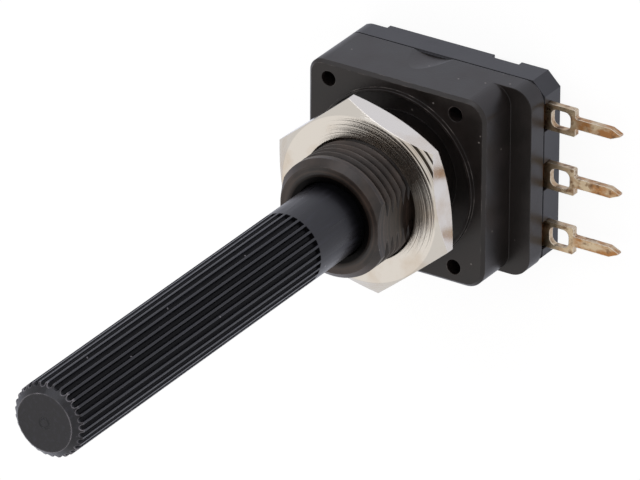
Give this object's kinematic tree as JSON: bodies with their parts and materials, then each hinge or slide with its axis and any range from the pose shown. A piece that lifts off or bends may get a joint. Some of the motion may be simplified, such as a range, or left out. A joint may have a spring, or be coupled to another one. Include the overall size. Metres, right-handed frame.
{
  "type": "rotary potentiometer",
  "caption": "Panel potentiometer with a square moulded housing, threaded bush and nut, ribbed plastic shaft and flat terminals along one side.",
  "frame": {"origin": "on the shaft axis, at the level of the housing's front face", "axes": "+Z along the shaft towards the knob, -Y towards the terminals, X along the row of terminals"},
  "size_m": [0.0158, 0.024, 0.0559],
  "materials": {
    "housing_plastic": "satin moulded black polyester",
    "cover_plastic": "satin moulded dark grey polyester",
    "board_laminate": "brown phenolic laminate",
    "carbon_track": "printed carbon film",
    "silver_print": "printed silver film",
    "terminal_brass": "tinned brass, slightly tarnished",
    "rivet_metal": "plated",
    "shaft_plastic": "satin moulded black acetal",
    "rotor_plastic": "moulded natural acetal",
    "wiper_metal": "stamped nickel silver",
    "nut_nickel": "turned, bright nickel plate"
  },
  "bodies": {
    "housing": {"front_housing": "housing_plastic", "rear_cover": "cover_plastic", "element_board": "board_laminate", "resistive_track": "carbon_track", "collector_track": "silver_print", "end_pad_1": "silver_print", "end_pad_3": "silver_print", "terminal_1": "terminal_brass", "terminal_2": "terminal_brass", "terminal_3": "terminal_brass", "rivet_1": "rivet_metal", "rivet_2": "rivet_metal", "rivet_3": "rivet_metal", "spring_washer": "wiper_metal"},
    "turning_shaft": {"shaft": "shaft_plastic", "rotor": "rotor_plastic", "wiper_spring": "wiper_metal"},
    "nut": {"hex_nut": "nut_nickel"}
  },
  "joints": [
    {"name": "shaft_turn", "type": "hinge", "parent": "housing", "child": "turning_shaft", "pos_m": [0, 0, 0], "axis": [0, 0, 1], "range_deg": [-150, 150]},
    {"name": "nut_travel", "type": "slide", "parent": "housing", "child": "nut", "axis": [0, 0, 1], "range_m": [-0.0025, 0.0041]}
  ]
}
